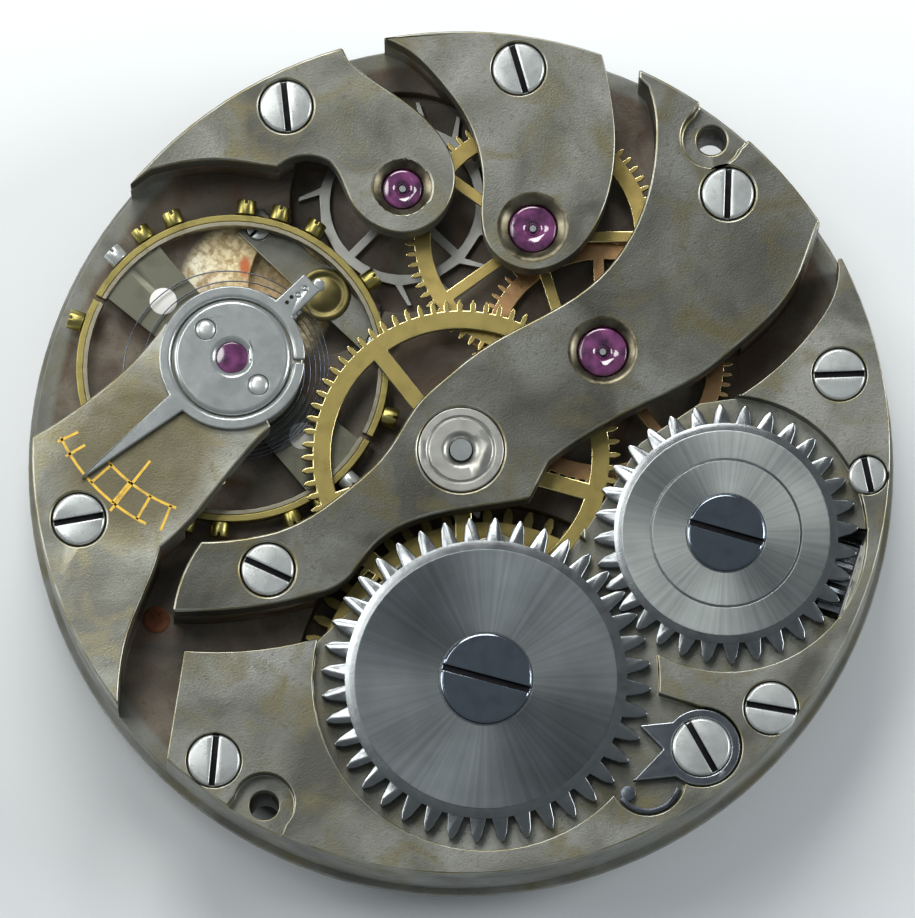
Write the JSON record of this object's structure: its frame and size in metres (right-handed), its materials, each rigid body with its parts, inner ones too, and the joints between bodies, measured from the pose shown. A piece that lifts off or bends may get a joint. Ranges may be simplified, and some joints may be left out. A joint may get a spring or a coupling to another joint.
{
  "type": "mechanical watch movement",
  "caption": "Round hand-wound watch movement with separate bridges and cocks, a wheel train, a screwed balance with hairspring, winding wheels with click, and dial-side motion work.",
  "frame": {"origin": "on the main plate's axis, at its dial face", "axes": "+Z from the dial face to the bridges, +Y to the top of the picture"},
  "size_m": [0.027, 0.027, 0.0053],
  "materials": {
    "gilt_plate": "matt gilt brass, aged",
    "nickel_bridge": "frosted nickel plating, aged to grey and olive",
    "polished_steel": "mirror-polished steel",
    "brushed_steel": "sunray-brushed steel",
    "golden_brass": "polished golden brass",
    "copper_brass": "copper-tinted brass",
    "blue_grey_spring": "tempered spring steel",
    "ruby": "polished ruby"
  },
  "bodies": {
    "movement": {"main_plate": "gilt_plate", "barrel_bridge": "nickel_bridge", "train_bridge": "nickel_bridge", "fourth_cock": "nickel_bridge", "escape_cock": "nickel_bridge", "balance_cock": "nickel_bridge", "bridge_screws": "polished_steel", "train_jewels": "ruby", "pallet_jewels": "ruby", "balance_jewels": "ruby", "centre_bushings": "golden_brass", "pallet_bridge": "nickel_bridge", "hairspring": "blue_grey_spring", "hairspring_stud": "polished_steel", "endstone_cap": "polished_steel", "cock_screws": "polished_steel", "lower_endstone_cap": "gilt_plate", "crown_wheel_core": "polished_steel", "winding_screws": "polished_steel", "click_spring": "blue_grey_spring", "setting_lever_screw": "polished_steel", "yoke_spring": "blue_grey_spring", "setting_cover_plate": "gilt_plate", "small_screws": "polished_steel"},
    "barrel": {"barrel_drum": "golden_brass", "barrel_cover": "golden_brass", "mainspring": "blue_grey_spring"},
    "barrel_arbor": {"barrel_arbor": "polished_steel", "ratchet_wheel": "brushed_steel", "ratchet_screw": "polished_steel"},
    "centre": {"centre_wheel": "golden_brass", "centre_pinion": "polished_steel", "cannon_pinion": "polished_steel"},
    "third": {"third_wheel": "copper_brass", "third_pinion": "polished_steel"},
    "fourth": {"fourth_wheel": "golden_brass", "fourth_pinion": "polished_steel"},
    "escape": {"escape_wheel": "polished_steel", "escape_pinion": "polished_steel"},
    "pallets": {"pallet_fork": "polished_steel", "pallet_stones": "ruby", "pallet_arbor": "polished_steel"},
    "balance": {"balance_wheel": "polished_steel", "balance_rim": "golden_brass", "balance_screws": "golden_brass", "timing_screws": "polished_steel", "balance_staff": "polished_steel", "roller": "polished_steel", "impulse_jewel": "ruby", "hairspring_collet": "golden_brass"},
    "regulator": {"regulator": "polished_steel"},
    "click": {"click": "brushed_steel"},
    "crown_wheel": {"crown_wheel": "brushed_steel"},
    "winding_pinion": {"winding_pinion": "brushed_steel"},
    "sliding_pinion": {"sliding_pinion": "brushed_steel"},
    "minute": {"minute_wheel": "golden_brass"},
    "hour": {"hour_wheel": "golden_brass"},
    "setting": {"setting_wheel": "brushed_steel"},
    "setting_lever": {"setting_lever": "brushed_steel"},
    "yoke": {"yoke": "brushed_steel"}
  },
  "joints": [
    {"name": "fourth_turn", "type": "hinge", "parent": "movement", "child": "fourth", "pos_m": [0.00224, 0.00705, 0], "axis": [0, 0, 1], "continuous": true},
    {"name": "third_turn", "type": "hinge", "parent": "movement", "child": "third", "pos_m": [0.0044, 0.00314, 0], "axis": [0, 0, 1], "continuous": true},
    {"name": "centre_turn", "type": "hinge", "parent": "movement", "child": "centre", "pos_m": [0, 0, 0], "axis": [0, 0, 1], "continuous": true},
    {"name": "barrel_turn", "type": "hinge", "parent": "movement", "child": "barrel", "pos_m": [0.00077, -0.00722, 0], "axis": [0, 0, 1], "continuous": true},
    {"name": "escape_turn", "type": "hinge", "parent": "movement", "child": "escape", "pos_m": [-0.00182, 0.00831, 0], "axis": [0, 0, 1], "continuous": true},
    {"name": "minute_turn", "type": "hinge", "parent": "movement", "child": "minute", "pos_m": [0.00276, -0.00088, 0], "axis": [0, 0, 1], "continuous": true},
    {"name": "hour_turn", "type": "hinge", "parent": "movement", "child": "hour", "pos_m": [0, 0, 0], "axis": [0, 0, 1], "continuous": true},
    {"name": "setting_turn", "type": "hinge", "parent": "movement", "child": "setting", "pos_m": [0.0068, -0.00218, 0], "axis": [0, 0, 1], "continuous": true},
    {"name": "arbor_turn", "type": "hinge", "parent": "movement", "child": "barrel_arbor", "pos_m": [0.00077, -0.00722, 0], "axis": [0, 0, 1], "continuous": true},
    {"name": "crown_turn", "type": "hinge", "parent": "movement", "child": "crown_wheel", "pos_m": [0.00821, -0.00263, 0], "axis": [0, 0, 1], "continuous": true},
    {"name": "winding_turn", "type": "hinge", "parent": "movement", "child": "winding_pinion", "pos_m": [0, 0, 0.00175], "axis": [0.9523, -0.305, 0], "continuous": true},
    {"name": "pallet_turn", "type": "hinge", "parent": "movement", "child": "pallets", "pos_m": [-0.00445, 0.00561, 0], "axis": [0, 0, 1], "range_deg": [-5, 5]},
    {"name": "balance_turn", "type": "hinge", "parent": "movement", "child": "balance", "pos_m": [-0.0071, 0.00287, 0], "axis": [0, 0, 1], "range_deg": [-270, 270], "stiffness_Nm_per_rad": 0.0000005, "deforming": ["hairspring"]},
    {"name": "regulator_turn", "type": "hinge", "parent": "movement", "child": "regulator", "pos_m": [-0.0071, 0.00287, 0], "axis": [0, 0, 1], "range_deg": [-20, 20]},
    {"name": "click_turn", "type": "hinge", "parent": "movement", "child": "click", "pos_m": [0.00742, -0.00934, 0], "axis": [0, 0, 1], "range_deg": [-10, 0]},
    {"name": "yoke_turn", "type": "hinge", "parent": "movement", "child": "yoke", "pos_m": [0.00892, -0.00727, 0], "axis": [0, 0, 1], "range_deg": [0, 12.2]},
    {"name": "setting_lever_turn", "type": "hinge", "parent": "movement", "child": "setting_lever", "pos_m": [0.0126, -0.00079, 0], "axis": [0, 0, 1], "range_deg": [-22, 0]},
    {"name": "sliding_slide", "type": "slide", "parent": "movement", "child": "sliding_pinion", "axis": [0.9523, -0.305, 0], "range_m": [-0.000895, 0]}
  ],
  "couplings": [
    {"joint": "third_turn", "follows": "fourth_turn", "ratio": -0.13333},
    {"joint": "centre_turn", "follows": "fourth_turn", "ratio": 0.016667},
    {"joint": "barrel_turn", "follows": "fourth_turn", "ratio": -0.0049383},
    {"joint": "escape_turn", "follows": "fourth_turn", "ratio": -10},
    {"joint": "minute_turn", "follows": "fourth_turn", "ratio": -0.0055556},
    {"joint": "hour_turn", "follows": "fourth_turn", "ratio": 0.0013889},
    {"joint": "setting_turn", "follows": "fourth_turn", "ratio": 0.0058824},
    {"joint": "crown_turn", "follows": "arbor_turn", "ratio": -1.25},
    {"joint": "winding_turn", "follows": "arbor_turn", "ratio": 4},
    {"joint": "yoke_turn", "follows": "sliding_slide", "rad_per_m": -237.89},
    {"joint": "setting_lever_turn", "follows": "sliding_slide", "rad_per_m": 428.2}
  ]
}
